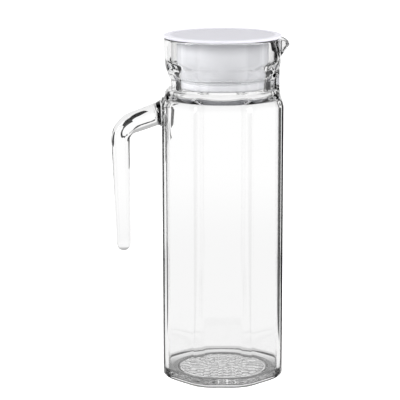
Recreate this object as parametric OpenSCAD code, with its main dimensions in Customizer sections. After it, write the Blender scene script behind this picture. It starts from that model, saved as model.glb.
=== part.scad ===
// Eight-sided pressed glass pitcher with an open hook handle and a push-in plastic lid.
// Origin: on the pitcher's axis, in the plane that it stands on. +Z is up, the handle is on -X
// and the pouring lip on +X.

/* [Glass body] */
// Width of the body across two opposite flats
body_width = 85; // [76:1:96]
// Height of the glass from the table to the top of the rim
glass_height = 244.8; // [235:0.2:270]
// Thickness of the side walls
wall = 3.2; // [2.4:0.1:4.5]
// Thickness of the floor above the table
floor_thickness = 7.6; // [5.5:0.1:11]
// Rounding taken off the eight upright corners, measured inwards from the sharp corner
corner_softening = 0.8; // [0.3:0.1:1.6]
// How much longer the rounding at the ends of a corner is than at the ends of a flat
corner_lag = 0.7; // [0.4:0.1:1.2]
// Height of the rounded heel between the foot and the wall
heel_height = 6.6; // [5:0.1:9]
// Distance that the foot stands in from the wall at the heel
heel_inset = 9; // [6:0.1:9.4]
// Width of the flat ring that the pitcher stands on
foot_ring_width = 1.8; // [1.4:0.1:2]
// Height of the middle of the base above the table
push_up = 1.2; // [0.8:0.1:2]

/* [Shoulder and neck] */
// Height of the head, from the top of the straight wall to the rim
head_height = 47.8; // [45:0.2:60]
// Height of the rounded shoulder
shoulder_rise = 5.4; // [4.5:0.1:7]
// How far the shoulder draws in from the wall
shoulder_inset = 2.4; // [1.5:0.1:3.5]
// Height of the bead between the shoulder and the neck
bead_height = 6.4; // [5:0.1:8]
// How far the bead swells out over the groove under it
bead_swell = 0.5; // [0.3:0.1:1]
// How far the neck's flats stand in from the collar
neck_inset = 5.2; // [4.6:0.1:6]
// Height of the straight part of the neck
neck_height = 8; // [6:0.5:10]
// Thickness of the glass in the middle of the neck's flats
neck_wall = 3; // [2.6:0.1:4.5]

/* [Collar and lip] */
// How far the round collar stands in from the body's flats
collar_inset = 1.3; // [0:0.1:2.5]
// How much narrower the collar is at its lower end
collar_draft = 1.8; // [1:0.1:3]
// Height of the arched flats at the lower end of the collar
arch_height = 13.5; // [10:0.5:16]
// Thickness of the collar at the rim
rim_width = 5; // [4:0.1:5.6]
// How far the pouring lip stands out from the rim
lip_reach = 5.6; // [3:0.1:8]
// Height of the pouring lip
lip_height = 14; // [10:0.5:18]
// Drop from the rim to the tip of the lip
lip_drop = 4.6; // [3:0.1:6]
// Radius of the lip around its own upright axis
lip_radius = 10.4; // [8:0.2:12]
// Thickness of the glass in the lip
lip_wall = 2.4; // [1.8:0.1:3.2]

/* [Base pattern] */
// Number of rays pressed into the underside
ray_count = 24; // [12:1:32]
// Depth of the pressed pattern
ray_depth = 0.6; // [0.3:0.1:1]
// Radius at which the rays start
ray_start = 11; // [8:0.5:15]
// Radius at which the rays end
ray_end = 27.5; // [22:0.5:27.5]
// Width of the pressed ring around the rays
pressed_ring_width = 1.4; // [0.8:0.1:1.6]
// Radius of the pressed ring around the rays
pressed_ring_radius = 29.6; // [29:0.2:30]

/* [Handle] */
// How far below the shoulder the middle of the arm leaves the body
handle_drop = 5; // [5:0.5:20]
// Downward slope of the arm
arm_slope = 20; // [10:1:30]
// Clear space for fingers between the body and the grip
finger_gap = 23; // [20:0.5:30]
// Radius of the bend along its middle
bend_radius = 13.4; // [12:0.2:16]
// Height of the open lower end of the grip above the table
grip_end_height = 91.9; // [70:1:120]
// Height of the handle's root on the body
root_height = 20.8; // [18:0.2:23]
// Width of the handle's root on the body
root_width = 24; // [18:0.5:26]
// Thickness of the arm
arm_thickness = 15.8; // [13:0.2:18]
// Thickness of the grip under the bend
grip_thickness = 13.2; // [11:0.2:15]
// Thickness of the grip at its open end
grip_end_thickness = 10.2; // [8:0.2:12]
// Width of the arm, seen from above
arm_width = 18; // [14:0.5:20]
// Width of the grip at its open end, seen from the front
grip_end_width = 15; // [12:0.5:18]

/* [Lid] */
// Thickness of the cap
cap_thickness = 1.7; // [1.6:0.1:4]
// Rounding of the cap's upper edge
cap_edge = 0.6; // [0.3:0.1:0.8]
// Depth of the shallow dish in the top of the cap
cap_dish = 0.4; // [0.3:0.1:0.6]
// Width of the flat border around the dish
cap_border = 5.2; // [3:0.2:10]
// Gap between the underside of the cap and the rim of the glass
cap_gap = 0.2; // [0.1:0.05:0.5]
// Height of the plug's open end above the bead
plug_clear = 1.2; // [0.8:0.1:3]
// Wall thickness of the plug
plug_wall = 1.8; // [1.4:0.1:2.4]
// Radial gap between the plug and the bore of the neck
plug_gap = 0.9; // [0.6:0.05:1.4]
// Height of each sealing ring
ring_height = 1.4; // [1:0.1:1.8]
// Depth of the groove that holds a sealing ring
ring_groove = 0.7; // [0.5:0.05:0.9]
// Distance between the two sealing rings
ring_pitch = 2.8; // [2.4:0.1:3.2]
// Height of the lower sealing ring above the open end of the plug
ring_start = 5.6; // [4:0.1:7]
// Radial gap between a sealing ring and the bore of the neck
ring_gap = 0.25; // [0.15:0.05:0.4]

/* [Hidden] */

sides = 8;
side_angle = 360 / sides;
round_fn = 96;
// Overrun that lets a cut pass through the face that it starts from
over = 1;
// Steps in a rounded stretch of a profile
arc_steps = 6;
// Steps in the soft curve inside the shoulder
curve_steps = 10;

// How far the round foot stands in from the flats at the table
foot_ease = 0.3;
body_flat = body_width / 2;
body_corner = body_flat / cos(side_angle / 2) - corner_softening;
foot_flat = body_flat - heel_inset;
foot_corner = foot_flat - foot_ease;
inner_flat = body_flat - wall;
inner_corner = inner_flat / cos(side_angle / 2) - corner_softening;
inner_heel = wall / 2;
inner_corner_heel = inner_heel + corner_lag;

shoulder_height = glass_height - head_height;
groove_z = shoulder_height + shoulder_rise;
groove_flat = body_flat - shoulder_inset;
bead_top = groove_z + bead_height;
collar_r = body_flat - collar_inset;
neck_flat = collar_r - neck_inset;
neck_top = bead_top + neck_height;
neck_r = neck_flat - neck_wall;
mouth_r = collar_r - rim_width;
collar_low_r = collar_r - collar_draft / 2;
arch_top = neck_top + arch_height;
// Ratio of a softened corner's distance to its flat's distance
corner_share = body_corner / body_flat;
neck_corner = min(neck_flat * corner_share, collar_low_r);
bead_flat = groove_flat + bead_swell;
// Share of the way from a flat to its corner at which the bead is rounded off
bead_round_share = 0.35;
bead_corner = bead_flat * (1 + (corner_share - 1) * bead_round_share);
// Shares of the bead's height: its middle, its upper shoulder, and the start of the round corner
bead_middle_share = 0.4;
bead_shoulder_share = 0.92;
bead_low_share = 0.2;
bead_high_share = 0.75;
// Shares of the rise of the arched flats, outwards and upwards
arch_shares = [[0.32, 0.24], [0.66, 0.62], [1, 1.2]];
// Shares of the arched flats' height: the full collar, the top of the neck's bore, the mouth's start
collar_start_share = 0.36;
bore_top_share = 0.32;
mouth_start_share = 0.98;
rim_round = (collar_r - mouth_r) / 4;

plug_r = neck_r - plug_gap;
cap_r = collar_r;
cap_z = glass_height + cap_gap;
plug_end = bead_top + plug_clear;
ring_r = neck_r - ring_gap;
lower_ring_z = plug_end + ring_start;
upper_ring_z = lower_ring_z + ring_pitch;

function mix(a, b, t) = a + (b - a) * t;
function eased(t) = t * t * (3 - 2 * t);
// Points of a quarter round from angle a0 to a1, of radii rx and ry, around (cx, cy)
function arc(cx, cy, rx, ry, a0, a1) =
    [for (i = [0:arc_steps]) let (a = a0 + (a1 - a0) * i / arc_steps) [cx + rx * cos(a), cy + ry * sin(a)]];
// Points of the soft curve inside the shoulder, from radius r0 at height z0 to r1 at z1
function shoulder_curve(r0, r1, z0, z1) =
    [for (i = [0:curve_steps]) let (t = i / curve_steps) [mix(r0, r1, eased(t)), mix(z0, z1, t)]];
// The same profile on the other side of the axis, from top to bottom
function mirrored(points) = [for (i = [len(points) - 1:-1:0]) [-points[i][0], points[i][1]]];

// Eight-sided solid whose flats stand at points[i][0] from the axis at height points[i][1]
module eight_flats(points) {
    intersection_for (i = [0:sides / 2 - 1])
        rotate([0, 0, i * side_angle])
            rotate([90, 0, 0])
                translate([0, 0, -body_width])
                    linear_extrude(height = 2 * body_width)
                        polygon(concat(points, mirrored(points)));
}

module turned(points) {
    rotate_extrude($fn = round_fn) polygon(points);
}

// Outer flats, from the foot to the collar. Above the arches they lie outside the round collar.
function outer_flats() = concat(
    arc(foot_flat, heel_height, heel_inset, heel_height, -90, 0),
    [[body_flat, shoulder_height]],
    arc(groove_flat, shoulder_height, shoulder_inset, shoulder_rise, 0, 60),
    [[groove_flat, groove_z]],
    arc(groove_flat, groove_z + bead_height * bead_middle_share,
        bead_swell, bead_height * bead_middle_share, -60, 40),
    [[bead_flat - (bead_flat - neck_flat) * bead_middle_share, groove_z + bead_height * bead_shoulder_share],
     [neck_flat, bead_top],
     [neck_flat, neck_top]],
    [for (share = arch_shares) [mix(neck_flat, collar_r, share[0]), neck_top + arch_height * share[1]]],
    [[body_flat, neck_top + arch_height * arch_shares[2][1]],
     [body_flat, glass_height + over]]);

// Outer round profile: it softens the upright corners and shapes the round collar
function outer_round() = concat(
    [[0, 0]],
    arc(foot_corner, heel_height + corner_lag, body_corner - foot_corner, heel_height + corner_lag, -90, 0),
    [[body_corner, shoulder_height - corner_lag]],
    arc(groove_flat * corner_share, shoulder_height - corner_lag, shoulder_inset * corner_share,
        shoulder_rise, 0, 60),
    [[bead_corner, groove_z + bead_height * bead_low_share],
     [bead_corner, groove_z + bead_height * bead_high_share],
     [neck_corner, bead_top + corner_lag],
     [neck_corner, neck_top - corner_lag],
     [collar_low_r, neck_top + arch_height * collar_start_share],
     [collar_low_r + collar_draft / 4, arch_top],
     [collar_r, glass_height - rim_round]],
    arc(collar_r - rim_round, glass_height - rim_round, rim_round, rim_round, 0, 90),
    [[0, glass_height]]);

function inner_flats() = concat(
    [[inner_flat - inner_heel, floor_thickness]],
    arc(inner_flat - inner_heel, floor_thickness + inner_heel, inner_heel, inner_heel, -90, 0),
    shoulder_curve(inner_flat, neck_r + plug_gap, shoulder_height, plug_end),
    [[inner_flat, neck_top],
     [inner_flat, glass_height + over]]);

function inner_round() = concat(
    [[0, floor_thickness]],
    arc(inner_corner - inner_corner_heel, floor_thickness + inner_corner_heel, inner_corner_heel,
        inner_corner_heel, -90, 0),
    shoulder_curve(inner_corner, neck_r, shoulder_height - corner_lag, plug_end - corner_lag),
    [[neck_r, neck_top + arch_height * bore_top_share],
     [mouth_r, neck_top + arch_height * mouth_start_share],
     [mouth_r, glass_height - rim_round]],
    [[mouth_r + rim_round / 2, glass_height],
     [mouth_r + rim_round / 2, glass_height + over],
     [0, glass_height + over]]);

// The pouring lip is a beak, round about its own upright axis near the edge of the mouth
lip_axis = collar_r + lip_reach - lip_radius;
lip_low = glass_height - lip_height;
lip_tip_z = glass_height - lip_drop;
lip_foot_r = max(collar_low_r - lip_axis - lip_wall / 2, lip_wall);

module lip_beak() {
    translate([lip_axis, 0, 0])
        turned([[0, lip_low], [lip_foot_r, lip_low], [lip_radius, lip_tip_z - lip_wall / 2],
                [lip_radius, lip_tip_z + lip_wall / 4], [lip_radius / 2, glass_height],
                [0, glass_height]]);
}

module lip_channel() {
    translate([lip_axis, 0, 0])
        turned([[0, lip_low + 2 * lip_wall], [lip_foot_r, lip_low + 2 * lip_wall],
                [lip_radius - lip_wall, lip_tip_z - lip_wall / 2],
                [lip_radius - lip_wall, glass_height + over], [0, glass_height + over]]);
}

// Shallow relief pressed into the underside: rays and a ring around them
module base_pattern() {
    recess_r = foot_flat - foot_ring_width;
    translate([0, 0, -over]) cylinder(r = recess_r, h = push_up + over, $fn = round_fn);
    difference() {
        translate([0, 0, -over])
            cylinder(r = pressed_ring_radius + pressed_ring_width / 2, h = push_up + ray_depth + over,
                     $fn = round_fn);
        translate([0, 0, -2 * over])
            cylinder(r = pressed_ring_radius - pressed_ring_width / 2, h = push_up + ray_depth + 4 * over,
                     $fn = round_fn);
    }
    ray_half = 180 / ray_count / 2;
    for (i = [0:ray_count - 1])
        rotate([0, 0, i * 360 / ray_count])
            translate([0, 0, -over])
                linear_extrude(height = push_up + ray_depth + over)
                    polygon([[ray_start, 0],
                             [ray_end * cos(ray_half), -ray_end * sin(ray_half)],
                             [ray_end, 0],
                             [ray_end * cos(ray_half), ray_end * sin(ray_half)]]);
}

module glass_body() {
    color([0.86, 0.9, 0.91, 0.45])
        difference() {
            union() {
                intersection() {
                    eight_flats(outer_flats());
                    turned(outer_round());
                }
                lip_beak();
            }
            intersection() {
                eight_flats(inner_flats());
                turned(inner_round());
            }
            lip_channel();
            base_pattern();
        }
}

// The handle's middle line: a sloping arm, a bend and an upright grip with an open lower end
handle_height = shoulder_height - handle_drop;
grip_r_top = grip_thickness / 2;
grip_r_end = grip_end_thickness / 2;
bend_x = -(body_flat + finger_gap + grip_r_top) + bend_radius;
bend_z = handle_height
    - (bend_radius - (body_flat + bend_x) * sin(arm_slope)) / cos(arm_slope);
arm_end = [bend_x - bend_radius * sin(arm_slope), bend_z + bend_radius * cos(arm_slope)];
arm_length = norm(arm_end - [-body_flat, handle_height]);
grip_length = bend_z - grip_end_height - grip_r_end;

section_sides = 20;
arm_rings = 7;
bend_rings = 8;
grip_rings = 6;
end_rings = 6;
// Rings on the arm crowd towards the root, by this power
root_crowding = 1.4;
// Roundness of the section: 2 is an ellipse, more is closer to a rounded rectangle
section_power = 2.6;
// Share of the arm's length that the flare at the root takes
flare_share = 0.24;
flare_length = arm_length * flare_share;
// Share of the taper from arm to grip that the arm itself takes
arm_taper_share = 0.4;

// Share of the root's flare that is left at distance s from the body
function flare(s) = s >= flare_length ? 0 : pow(1 - s / flare_length, 2);

// Share of the wall that the uncut root reaches into, before it is cut back to the body's surface
root_share = 0.9;

// A ring is its middle point, the angle of its plane, and its half thickness and half width
function arm_ring(s) = let (t = s / arm_length)
    [[-body_flat - s * cos(arm_slope), handle_height - s * sin(arm_slope)],
     arm_slope * eased(min(s / (2 * flare_length), 1)),
     mix(mix(arm_thickness, grip_thickness, t * arm_taper_share), root_height, flare(s)) / 2,
     mix(arm_width, root_width, flare(s)) / 2];
function bend_ring(t) = let (a = mix(90 + arm_slope, 180, t))
    [[bend_x + bend_radius * cos(a), bend_z + bend_radius * sin(a)],
     a - 90,
     mix(mix(arm_thickness, grip_thickness, arm_taper_share), grip_thickness, t) / 2,
     arm_width / 2];
function grip_ring(t) =
    [[-(body_flat + finger_gap) - mix(grip_r_top, grip_r_end, t), bend_z - grip_length * t],
     90,
     mix(grip_r_top, grip_r_end, t),
     mix(arm_width, grip_end_width, t) / 2];
function end_ring(t) = let (g = grip_ring(1), a = 90 * t)
    [[g[0][0], g[0][1] - grip_r_end * sin(a)], 90, g[2] * cos(a), g[3] * cos(a)];

handle_rings = concat(
    [[[wall * root_share - body_flat, handle_height], 0, root_height / 2, root_width / 2]],
    [for (i = [0:arm_rings - 1]) arm_ring(arm_length * pow(i / arm_rings, root_crowding))],
    [for (i = [0:bend_rings - 1]) bend_ring(i / bend_rings)],
    [for (i = [0:grip_rings]) grip_ring(i / grip_rings)],
    [for (i = [1:end_rings - 1]) end_ring(sin(90 * i / end_rings))]);

function section_point(ring, k) =
    let (a = 360 * k / section_sides,
         u = sign(cos(a)) * pow(abs(cos(a)), 2 / section_power) * ring[2],
         v = sign(sin(a)) * pow(abs(sin(a)), 2 / section_power) * ring[3])
    [ring[0][0] - u * sin(ring[1]), v, ring[0][1] + u * cos(ring[1])];

module handle() {
    rings = len(handle_rings);
    points = concat(
        [for (ring = handle_rings) for (k = [0:section_sides - 1]) section_point(ring, k)],
        [[grip_ring(1)[0][0], 0, grip_end_height]]);
    sides_faces = [for (r = [0:rings - 2]) for (k = [0:section_sides - 1])
        let (a = r * section_sides + k, b = r * section_sides + (k + 1) % section_sides)
        [a, b, b + section_sides, a + section_sides]];
    root_face = [[for (k = [section_sides - 1:-1:0]) k]];
    end_faces = [for (k = [0:section_sides - 1])
        [(rings - 1) * section_sides + k, (rings - 1) * section_sides + (k + 1) % section_sides,
         rings * section_sides]];
    color([0.84, 0.89, 0.9, 0.45])
        difference() {
            polyhedron(points = points, faces = concat(sides_faces, root_face, end_faces));
            rotate([90, 0, 0])
                translate([0, 0, -root_width])
                    linear_extrude(height = 2 * root_width)
                        polygon(concat(outer_flats(), mirrored(outer_flats())));
        }
}

module lid_cap() {
    cap_top = cap_z + cap_thickness;
    color([0.93, 0.92, 0.95])
        turned(concat([[0, cap_z], [cap_r - cap_edge / 2, cap_z], [cap_r, cap_z + cap_edge / 2]],
                      arc(cap_r - cap_edge, cap_top - cap_edge, cap_edge, cap_edge, 0, 90),
                      [[cap_r - cap_border, cap_top],
                       [cap_r - cap_border - 2 * cap_dish, cap_top - cap_dish],
                       [0, cap_top - cap_dish]]));
}

module lid_plug() {
    groove_r = plug_r - ring_groove;
    color([0.9, 0.91, 0.92])
        turned([[plug_r - plug_wall, cap_z], [plug_r - plug_wall, plug_end],
                [plug_r - plug_wall / 3, plug_end], [plug_r, plug_end + plug_wall],
                [plug_r, lower_ring_z], [groove_r, lower_ring_z],
                [groove_r, lower_ring_z + ring_height], [plug_r, lower_ring_z + ring_height],
                [plug_r, upper_ring_z], [groove_r, upper_ring_z],
                [groove_r, upper_ring_z + ring_height], [plug_r, upper_ring_z + ring_height],
                [plug_r, cap_z]]);
}

module seal_ring(z) {
    groove_r = plug_r - ring_groove;
    color([0.8, 0.81, 0.83])
        turned([[groove_r, z], [plug_r, z], [ring_r, z + ring_height / 3],
                [ring_r, z + ring_height * 2 / 3], [plug_r, z + ring_height], [groove_r, z + ring_height]]);
}

module upper_seal_ring() {
    seal_ring(upper_ring_z);
}

module lower_seal_ring() {
    seal_ring(lower_ring_z);
}

glass_body();
handle();
lid_cap();
lid_plug();
upper_seal_ring();
lower_seal_ring();
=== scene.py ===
"""Looks of a pressed glass pitcher with an open hook handle and a push-in frosted lid.

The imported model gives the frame: metres, +Z up, the handle on -X and the pouring lip on +X.
"""

from math import atan2, cos, exp, pi, radians, sin, sqrt

import bmesh
import bpy
import numpy as np
from bpy.props import FloatProperty, FloatVectorProperty, IntProperty, PointerProperty
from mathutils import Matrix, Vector


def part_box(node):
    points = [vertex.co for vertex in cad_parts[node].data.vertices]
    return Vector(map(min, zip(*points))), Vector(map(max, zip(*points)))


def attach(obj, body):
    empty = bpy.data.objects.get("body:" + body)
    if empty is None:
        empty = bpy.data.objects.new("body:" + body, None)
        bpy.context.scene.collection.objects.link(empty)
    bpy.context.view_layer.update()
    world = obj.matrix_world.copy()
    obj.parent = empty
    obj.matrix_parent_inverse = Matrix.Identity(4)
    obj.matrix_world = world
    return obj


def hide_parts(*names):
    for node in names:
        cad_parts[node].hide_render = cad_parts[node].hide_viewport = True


bl_info = {
    "name": "Pressed glass pitcher",
    "version": (1, 0, 0),
    "blender": (4, 5, 0),
    "location": "3D View > Sidebar > Pitcher",
    "description": "Builds the glass, the lid and the studio of a pressed glass pitcher",
    "category": "Add Mesh",
}

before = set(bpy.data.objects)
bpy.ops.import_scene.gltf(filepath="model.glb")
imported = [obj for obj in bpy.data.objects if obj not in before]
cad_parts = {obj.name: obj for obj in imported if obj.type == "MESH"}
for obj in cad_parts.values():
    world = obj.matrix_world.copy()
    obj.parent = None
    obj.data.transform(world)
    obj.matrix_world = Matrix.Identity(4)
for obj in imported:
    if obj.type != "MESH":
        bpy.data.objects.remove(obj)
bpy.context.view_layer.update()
GLASS_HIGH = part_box("glass_body")[1]
CAP_LOW, CAP_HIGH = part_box("lid_cap")
PLUG_LOW, PLUG_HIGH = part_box("lid_plug")
UPPER_RING_LOW, UPPER_RING_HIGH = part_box("upper_seal_ring")
LOWER_RING_LOW, LOWER_RING_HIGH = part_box("lower_seal_ring")
HANDLE_LOW, HANDLE_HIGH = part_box("handle")

SIDES = 8
SIDE_ANGLE = 2 * pi / SIDES
HALF_SIDE = SIDE_ANGLE / 2

# Radius of the collar, and what the rounding of the rim takes off the tip of the lip
COLLAR_RADIUS = 0.0412
TIP_ROUNDING = 0.0007

# Outlines in millimetres of the black flags that darken the handle's arm and root, the left wall
# and the pouring lip, as (x, z) in the upright plane whose y comes first
MM_PER_METRE = 1000
NEAR_PLANE = 40
ARM_PLANE = 80
LIP_PLANE = 30
FLAGS = (
    (NEAR_PLANE, ((-49, 164), (-49, 173), (-56, 173.5), (-60, 173), (-64, 174.5), (-68, 176),
        (-70.5, 174), (-69, 173), (-66.5, 170), (-64, 168.5), (-61, 166), (-59, 163.5), (-54, 161),
        (-51, 162))),
    (ARM_PLANE, ((-64, 162.5), (-64.5, 165.5), (-66, 169), (-69, 169), (-72, 166.5), (-74.5, 165),
        (-80, 164), (-84, 165.5), (-87, 167.5), (-90.5, 169), (-91.5, 178), (-96, 179), (-100, 177.5),
        (-98.5, 175.5), (-94.5, 174), (-92, 165.5), (-88, 164.5), (-84, 163.5), (-80, 161.2),
        (-76, 161.5), (-72.5, 162), (-70, 163.2), (-67, 162))),
    (ARM_PLANE, ((-38, 160), (-41, 166), (-45, 173), (-46.5, 171), (-43, 164), (-40, 158))),
    (ARM_PLANE, ((-56, 190), (-60, 192), (-63, 189), (-66, 188), (-70, 187), (-74, 191), (-80, 195),
        (-86, 194), (-95, 187), (-100, 184), (-96, 191), (-86, 197), (-79, 199), (-73, 195),
        (-69, 192.5), (-65, 195), (-60, 196.5), (-56, 194))),
    (ARM_PLANE, ((-44, 186), (-44, 199), (-51, 199), (-51, 186))),
    (ARM_PLANE, ((-38, 193), (-36.5, 190), (-36.2, 180), (-37, 170), (-38.8, 167), (-39.3, 171),
        (-38.5, 180), (-38.5, 188))),
    (ARM_PLANE, ((-113, 162), (-113, 222), (-142, 222), (-150, 190), (-150, 170), (-145, 134),
        (-125, 134), (-125, 158))),
    (LIP_PLANE, ((59, 208), (72, 208), (72, 218.5), (69, 222.5), (59, 222.5))),
    (LIP_PLANE, ((61.5, 226), (70, 226), (70, 232.5), (61.5, 233.5))),
)


def length(name, description, default):
    return FloatProperty(name=name, description=description, default=default, subtype="DISTANCE",
                         unit="LENGTH", precision=4)


def slant(name, description, degrees):
    return FloatProperty(name=name, description=description, default=radians(degrees),
                         subtype="ANGLE")


def number(name, description, default):
    return FloatProperty(name=name, description=description, default=default)


def share(name, description, default):
    return FloatProperty(name=name, description=description, default=default, min=0, max=1,
                         subtype="FACTOR")


def colour(name, description, default):
    return FloatVectorProperty(name=name, description=description, default=default, size=3,
                               min=0, max=1, subtype="COLOR")


class PitcherGlassSizes(bpy.types.PropertyGroup):
    """Sizes of the glass body, from the foot to the pouring lip"""

    flat: length("Flat", "Distance from the axis to a flat of the body", GLASS_HIGH.y)
    height: length("Height", "Height of the rim above the table", GLASS_HIGH.z)
    wall: length("Wall", "Thickness of the side walls", 0.0032)
    floor: length("Floor", "Height of the inner floor above the table", 0.0076)
    corner: length("Corner radius", "Radius of the upright corners", 0.0105)
    inner_corner: length("Inner corner radius", "Radius of the corners of the cavity", 0.0105)
    bore_end: length("Bore end", "Height above the bead at which the neck's bore ends", 0.0012)
    foot: length("Foot radius", "Radius of the foot ring", 0.0332)
    foot_width: length("Foot width", "Width of the foot ring", 0.0015)
    push_up: length("Push-up", "Height of the base inside the foot ring", 0.0012)
    heel: length("Heel height", "Height of the rounded heel", 0.0066)
    shoulder: length("Shoulder", "Height at which the straight wall ends", 0.197)
    shoulder_rise: length("Shoulder rise", "Height of the rounded shoulder", 0.0054)
    shoulder_inset: length("Shoulder inset", "How far the shoulder draws in", 0.0024)
    bead_swell: length("Bead swell", "How far the bead stands out over its groove", 0.0005)
    bead_rise: length("Bead rise", "Height of the bead", 0.0064)
    neck: length("Neck flat", "Distance from the axis to a flat of the neck", 0.036)
    neck_rise: length("Neck rise", "Height of the straight neck", 0.008)
    neck_bore: length("Neck bore", "Radius of the bore in the neck", 0.033)
    arch_rise: length("Arch rise", "Height of the arched flats on the collar", 0.0135)
    collar: length("Collar radius", "Radius of the collar at the rim", COLLAR_RADIUS)
    collar_draft: length("Collar draft", "How much narrower the collar is at its foot", 0.0009)
    mouth: length("Mouth radius", "Radius of the mouth inside the collar", 0.0362)
    lip_reach: length("Lip reach", "How far the lip stands out from the rim",
                      GLASS_HIGH.x - COLLAR_RADIUS + TIP_ROUNDING)
    lip_radius: length("Lip radius", "Radius of the lip round its own axis", 0.0104)
    lip_rise: length("Lip rise", "Height of the pouring lip", 0.014)
    lip_drop: length("Lip drop", "How far the rim dips at the tip of the lip", 0.0042)
    lip_wall: length("Lip wall", "Thickness of the glass in the lip", 0.0024)
    relief: length("Relief", "Depth of the pattern pressed in the underside", 0.0006)
    ripple: length("Ripple", "Depth of the slight waviness of the glass", 0.00004)
    turns: IntProperty(name="Turns", description="Points in each ring of the mesh", default=320,
                       min=64, max=512)


class PitcherHandleSizes(bpy.types.PropertyGroup):
    """Sizes of the hook handle"""

    height: length("Height", "Height of the middle of the arm at the body", 0.192)
    gap: length("Finger gap", "Clear space between the body and the grip", 0.023)
    slope: slant("Slope", "Downward slope of the arm", 20)
    bend: length("Bend radius", "Radius of the bend along its middle", 0.0134)
    end: length("End height", "Height of the open end above the table", HANDLE_LOW.z)
    root_height: length("Root height", "Height of the root on the body", 0.0208)
    root_width: length("Root width", "Width of the root on the body", HANDLE_HIGH.y * 2)
    arm: length("Arm thickness", "Thickness of the arm", 0.0158)
    grip: length("Grip thickness", "Thickness of the grip under the bend", 0.0132)
    grip_end: length("End thickness", "Thickness of the grip at its open end", 0.0102)
    arm_width: length("Arm width", "Width of the arm", 0.018)
    end_width: length("End width", "Width of the grip at its open end", 0.015)


class PitcherLidSizes(bpy.types.PropertyGroup):
    """Sizes of the cap, the plug and the sealing rings"""

    cap_radius: length("Cap radius", "Radius of the cap", CAP_HIGH.x)
    cap_edge: length("Cap edge", "Rounding of the cap's edge", 0.0006)
    cap_border: length("Cap border", "Width of the flat border of the cap", 0.0052)
    cap_dish: length("Cap dish", "Depth of the dish in the top of the cap", 0.0004)
    plug_radius: length("Plug radius", "Radius of the plug", PLUG_HIGH.x)
    plug_wall: length("Plug wall", "Wall of the plug", 0.0018)
    groove: length("Groove", "Depth of the grooves that hold the rings", 0.0007)


class PitcherFinishes(bpy.types.PropertyGroup):
    """Colours of the glass, the plastics and the floor, and levels of the studio"""

    glass: colour("Glass", "Colour of the glass", (1.0, 1.0, 1.0))
    cap: colour("Cap", "Colour of the frosted cap", (0.56, 0.555, 0.60))
    plug: colour("Plug", "Colour of the milky plug", (0.66, 0.665, 0.69))
    seal: colour("Seal", "Colour of the sealing rings", (0.60, 0.61, 0.63))
    floor: colour("Floor", "Colour of the floor", (0.86, 0.86, 0.86))
    dark: share("Dark cards", "Level of the dark cards at the sides of the set", 0.02)
    # Near floor: painted shade, a slightly darker floor close to the pitcher that only the glass shows
    near: share("Near floor", "Level of the floor close to the pitcher, through the glass", 0.93)
    fill: number("Fill", "Level of the light from all round", 0.55)


class PitcherStageSizes(bpy.types.PropertyGroup):
    """The camera and the picture it takes"""

    distance: length("Camera distance", "Camera's distance in front of the axis", 1.25)
    camera_height: length("Camera height", "Height of the camera above the floor", 0.3913)
    tilt: slant("Tilt", "Downward tilt of the camera", 11.875)
    focal: number("Focal length", "Focal length in pixels of the picture", 1795)
    picture: number("Picture", "Width of the picture in pixels", 400)
    axis_offset: number("Axis offset", "Pixels from the picture's middle to the pitcher's axis", 22.7)


# Meshes

# How close points must be to be joined, and how much the points of a ring crowd at the corners
MERGE_DISTANCE = 1e-7
CORNER_CROWDING = 0.45


def smooth_min(a, b, k):
    """The lower of two fields, blended over a width k."""
    h = np.clip(0.5 + 0.5 * (b - a) / k, 0, 1)
    return b * (1 - h) + a * h - k * h * (1 - h)


def smooth_max(a, b, k):
    return -smooth_min(-a, -b, k)


def smooth_step(t):
    t = np.clip(t, 0, 1)
    return t * t * (3 - 2 * t)


def octagon(angle, flat, fillet):
    """Distance from the axis to an eight-sided outline with rounded corners."""
    turn = angle / SIDE_ANGLE - 0.5
    off = np.abs(turn - np.round(turn)) * SIDE_ANGLE
    centre = (flat - fillet) / cos(HALF_SIDE)
    meet = atan2(fillet * sin(HALF_SIDE), centre + fillet * cos(HALF_SIDE))
    rounded = centre * np.cos(off) + np.sqrt(np.maximum(fillet**2 - (centre * np.sin(off))**2, 0))
    return np.where(off < meet, rounded, flat / np.cos(HALF_SIDE - off))


def ring_mesh(rings, start, end):
    """Vertices and faces of rings of equal count, closed by a point at an end that has one."""
    points, count = np.concatenate(rings), len(rings[0])
    turn = [(j, (j + 1) % count) for j in range(count)]
    last = len(points) - count
    faces = [(low + j, low + k, low + count + k, low + count + j)
             for low in range(0, last, count) for j, k in turn]
    tips = [np.array([tip]) for tip in (start, end) if tip is not None]
    if start is not None:
        faces += [(len(points), k, j) for j, k in turn]
    if end is not None:
        faces += [(len(points) + len(tips) - 1, last + j, last + k) for j, k in turn]
    return np.vstack([points] + tips), faces


def close_mesh(mesh, merge):
    """Turns all faces outwards and, where asked, joins points that fall on each other."""
    bm = bmesh.new()
    bm.from_mesh(mesh)
    if merge:
        bmesh.ops.remove_doubles(bm, verts=bm.verts, dist=MERGE_DISTANCE)
    bmesh.ops.recalc_face_normals(bm, faces=bm.faces)
    bm.to_mesh(mesh)
    bm.free()


def mesh_object(name, points, faces, merge=False):
    mesh = bpy.data.meshes.new(name)
    mesh.from_pydata([tuple(p) for p in points], [], faces)
    mesh.update()
    close_mesh(mesh, merge)
    mesh.shade_smooth()
    piece = bpy.data.objects.new(name, mesh)
    bpy.context.scene.collection.objects.link(piece)
    return piece


def ring_angles(turns):
    """Angles of a ring, closer together at the eight corners, where the glass bends."""
    even = np.arange(turns) / turns * 2 * pi
    return even + CORNER_CROWDING / SIDES * np.sin(SIDES * even)


def arc(low, high, count):
    """Cosine and sine at even steps between two angles in degrees."""
    return [(cos(a), sin(a)) for a in np.radians(np.linspace(low, high, count))]


def steps(count):
    """Shares of a stretch, without its start."""
    return np.linspace(0, 1, count)[1:]


# Glass body

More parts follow.
